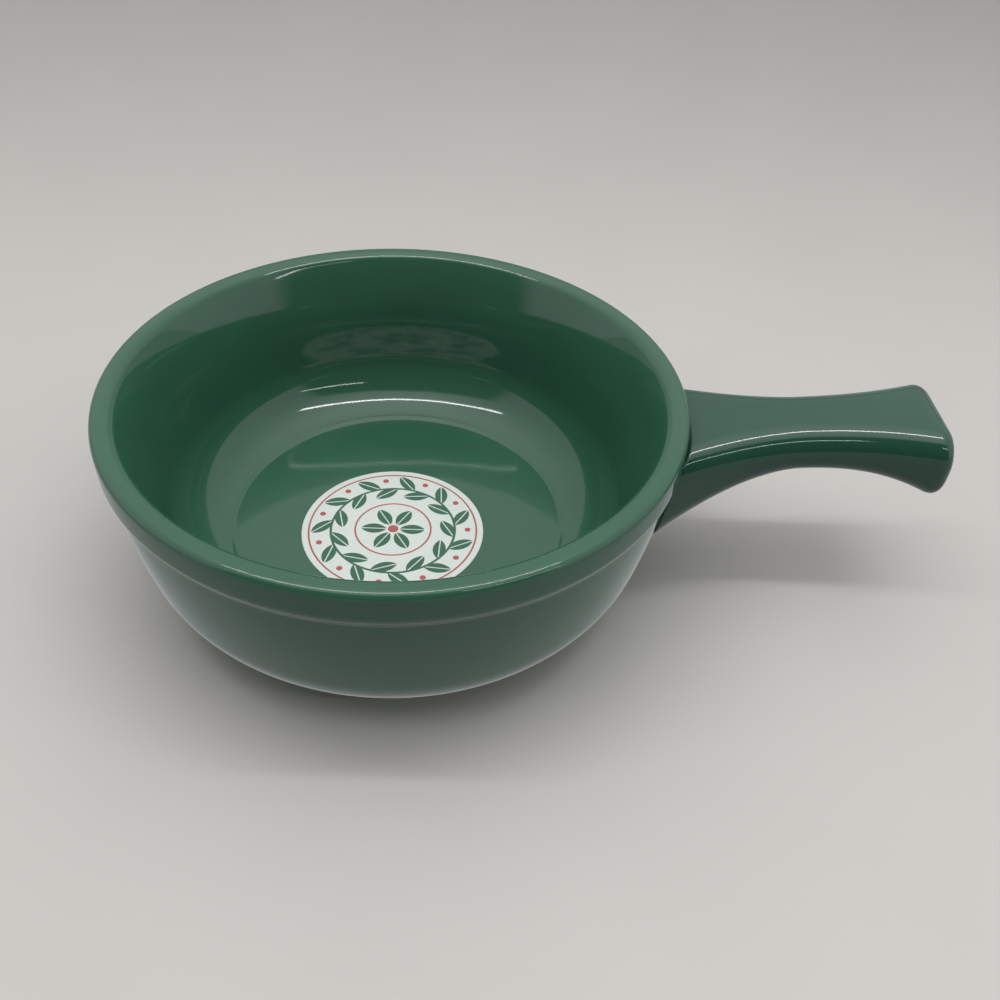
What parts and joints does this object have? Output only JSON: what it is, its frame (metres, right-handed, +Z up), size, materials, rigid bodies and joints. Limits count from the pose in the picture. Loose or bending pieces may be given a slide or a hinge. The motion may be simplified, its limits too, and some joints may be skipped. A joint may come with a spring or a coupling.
{
  "type": "handled soup bowl",
  "caption": "Round glazed stoneware soup bowl with a raised rim collar, a foot ring and a flared stick handle luted to its side, with a printed transfer on the flat floor.",
  "frame": {"origin": "on the table, under the middle of the overall box; the bowl's axis stands at x = -0.0303 m", "axes": "+Z up out of the bowl, +X along the handle from the bowl to its tip, +Y across"},
  "size_m": [0.1936, 0.133, 0.0508],
  "materials": {
    "green_glazed_stoneware": "glossy dark green glaze, fired",
    "glazed_joining_slip": "glossy dark green glaze pooled in the joint",
    "fired_transfer_print": "glossy fired print, white ground with green and red"
  },
  "bodies": {
    "root": {"bowl_body": "green_glazed_stoneware", "handle": "green_glazed_stoneware", "handle_slip_joint": "glazed_joining_slip", "floor_transfer": "fired_transfer_print"}
  },
  "joints": []
}
